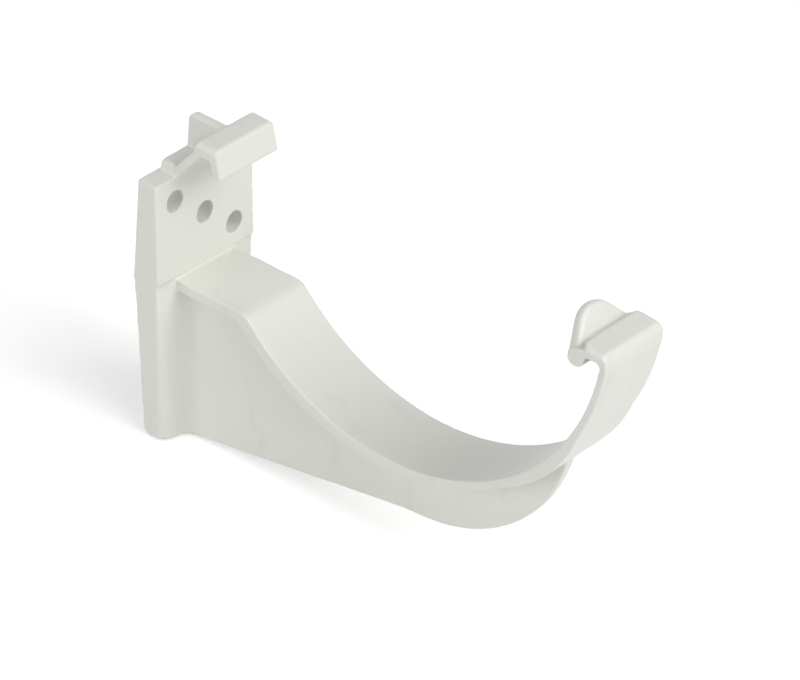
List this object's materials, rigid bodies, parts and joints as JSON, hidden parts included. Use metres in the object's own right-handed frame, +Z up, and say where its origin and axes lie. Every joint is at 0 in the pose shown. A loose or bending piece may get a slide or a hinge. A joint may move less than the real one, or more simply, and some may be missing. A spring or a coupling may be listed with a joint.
{
  "type": "gutter bracket",
  "caption": "Moulded bracket for a half-round gutter: fascia plate with three screw holes, curved saddle strap on a tapering web, rear hook and front clip with a lead-in tab.",
  "frame": {"origin": "point where the middle screw hole's axis meets the plane of the fascia board", "axes": "+X along the gutter, +Y horizontally into the fascia, +Z up; the bracket projects along -Y"},
  "size_m": [0.032, 0.126, 0.0827],
  "materials": {
    "upvc": "satin off-white moulded PVC-U, slightly warm, with soft mould-rounded edges"
  },
  "bodies": {
    "root": {"gutter_bracket": "upvc"}
  },
  "joints": []
}
